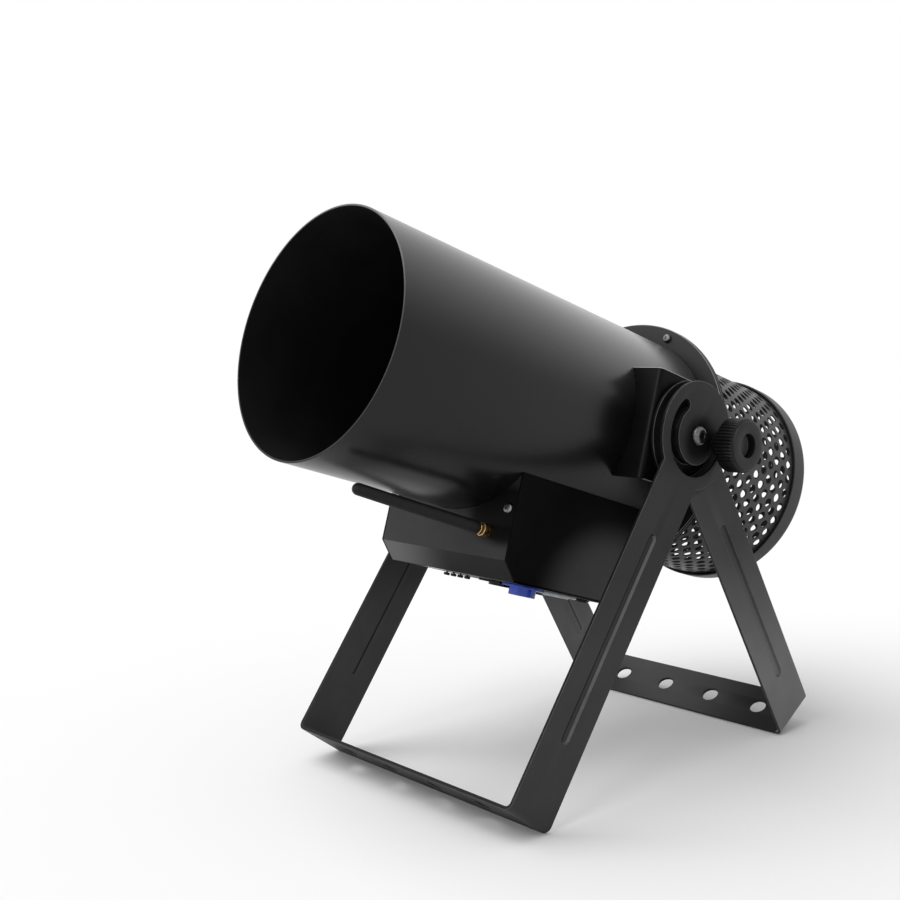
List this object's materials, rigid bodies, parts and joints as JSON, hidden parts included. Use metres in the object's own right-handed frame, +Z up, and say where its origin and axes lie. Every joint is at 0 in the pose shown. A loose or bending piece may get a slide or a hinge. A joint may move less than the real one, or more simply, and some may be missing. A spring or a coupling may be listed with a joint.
{
  "type": "confetti blower",
  "caption": "Confetti blower: slanted open barrel with a fan in a perforated rear cage, a control box with antenna below, and two clamped folding yokes as floor stand or hanger.",
  "frame": {"origin": "on the floor under the middle of the overall box", "axes": "+Z up; the mouth points to -Y and upwards; the yokes turn about an axis along X; +X is the machine's left, looking out of the mouth"},
  "size_m": [0.353, 0.6038, 0.5092],
  "materials": {
    "satin_black": "satin",
    "powder_black": "fine textured powder coat",
    "cage_black": "semi-gloss",
    "bright_steel": "zinc plated",
    "dark_steel": "dark plated",
    "motor_grey": "painted",
    "black_plastic": "moulded",
    "blue_plastic": "moulded",
    "pale_plastic": "moulded",
    "brass": "plated",
    "black_rubber": "smooth",
    "board_green": "coated",
    "smoked_window": "tinted",
    "brown_fibre": "pressed"
  },
  "bodies": {
    "blower": {"barrel_tube": "satin_black", "barrel_flange": "satin_black", "fan_plate": "satin_black", "flange_screw_1": "bright_steel", "flange_screw_2": "dark_steel", "flange_screw_3": "dark_steel", "flange_screw_4": "dark_steel", "flange_screw_5": "dark_steel", "flange_screw_6": "dark_steel", "outlet_guard": "dark_steel", "cage_shell": "cage_black", "cage_flange": "cage_black", "cage_end_ring": "cage_black", "cage_end_grille": "cage_black", "fan_motor": "motor_grey", "motor_bracket": "dark_steel", "left_bracket": "satin_black", "right_bracket": "satin_black", "left_pivot_bolt": "bright_steel", "right_pivot_bolt": "bright_steel", "left_pivot_nut": "dark_steel", "right_pivot_nut": "dark_steel", "left_clamp_nut": "dark_steel", "right_clamp_nut": "dark_steel", "left_friction_washer": "brown_fibre", "right_friction_washer": "brown_fibre", "left_yoke_spacer": "black_plastic", "right_yoke_spacer": "black_plastic", "box_body": "satin_black", "front_cover": "satin_black", "left_box_screw": "bright_steel", "right_box_screw": "bright_steel", "control_panel": "satin_black", "display_window": "smoked_window", "power_inlet": "blue_plastic", "power_outlet": "pale_plastic", "signal_inlet": "black_plastic", "signal_outlet": "black_plastic", "fuse_holder": "black_plastic", "control_board": "board_green", "driver_board": "board_green", "receiver_board": "board_green", "antenna_jack": "brass"},
    "fan": {"impeller": "dark_steel", "impeller_nut": "bright_steel", "motor_shaft": "bright_steel"},
    "front_stand": {"front_yoke": "powder_black"},
    "rear_stand": {"rear_yoke": "powder_black"},
    "left_clamp": {"left_knob_washer": "bright_steel"},
    "left_grip": {"left_knob": "black_plastic", "left_knob_stud": "bright_steel"},
    "right_clamp": {"right_knob_washer": "bright_steel"},
    "right_grip": {"right_knob": "black_plastic", "right_knob_stud": "bright_steel"},
    "button_1": {"menu_button_1": "black_plastic"},
    "button_2": {"menu_button_2": "black_plastic"},
    "button_3": {"menu_button_3": "black_plastic"},
    "button_4": {"menu_button_4": "black_plastic"},
    "antenna": {"antenna_sleeve": "brass", "antenna_rod": "black_rubber"}
  },
  "joints": [
    {"name": "front_yoke_pivot", "type": "hinge", "parent": "blower", "child": "front_stand", "pos_m": [0, 0.03949, 0.31165], "axis": [1, 0, 0], "range_deg": [-5, 223]},
    {"name": "rear_yoke_pivot", "type": "hinge", "parent": "blower", "child": "rear_stand", "pos_m": [0, 0.03949, 0.31165], "axis": [1, 0, 0], "range_deg": [-72, 156]},
    {"name": "fan_spin", "type": "hinge", "parent": "blower", "child": "fan", "pos_m": [0, 0.03949, 0.31165], "axis": [0, -0.9568, 0.2907], "continuous": true},
    {"name": "left_clamp_slide", "type": "slide", "parent": "blower", "child": "left_clamp", "axis": [1, 0, 0], "range_m": [0, 0.003]},
    {"name": "left_knob_turn", "type": "hinge", "parent": "left_clamp", "child": "left_grip", "pos_m": [0.16, 0.07011, 0.30235], "axis": [1, 0, 0], "range_deg": [0, 720]},
    {"name": "right_clamp_slide", "type": "slide", "parent": "blower", "child": "right_clamp", "axis": [-1, 0, 0], "range_m": [0, 0.003]},
    {"name": "right_knob_turn", "type": "hinge", "parent": "right_clamp", "child": "right_grip", "pos_m": [-0.16, 0.07011, 0.30235], "axis": [-1, 0, 0], "range_deg": [0, 720]},
    {"name": "button_1_press", "type": "slide", "parent": "blower", "child": "button_1", "axis": [0, 0.2907, 0.9568], "range_m": [0, 0.0008], "stiffness_N_per_m": 400, "springref_m": -0.002},
    {"name": "button_2_press", "type": "slide", "parent": "blower", "child": "button_2", "axis": [0, 0.2907, 0.9568], "range_m": [0, 0.0008], "stiffness_N_per_m": 400, "springref_m": -0.002},
    {"name": "button_3_press", "type": "slide", "parent": "blower", "child": "button_3", "axis": [0, 0.2907, 0.9568], "range_m": [0, 0.0008], "stiffness_N_per_m": 400, "springref_m": -0.002},
    {"name": "button_4_press", "type": "slide", "parent": "blower", "child": "button_4", "axis": [0, 0.2907, 0.9568], "range_m": [0, 0.0008], "stiffness_N_per_m": 400, "springref_m": -0.002},
    {"name": "antenna_turn", "type": "hinge", "parent": "blower", "child": "antenna", "pos_m": [0.054, -0.13673, 0.23664], "axis": [0, -0.9444, 0.3289], "range_deg": [0, 1080]}
  ],
  "couplings": [
    {"joint": "left_clamp_slide", "follows": "left_knob_turn", "m_per_rad": 0.000238},
    {"joint": "right_clamp_slide", "follows": "right_knob_turn", "m_per_rad": 0.000238}
  ]
}
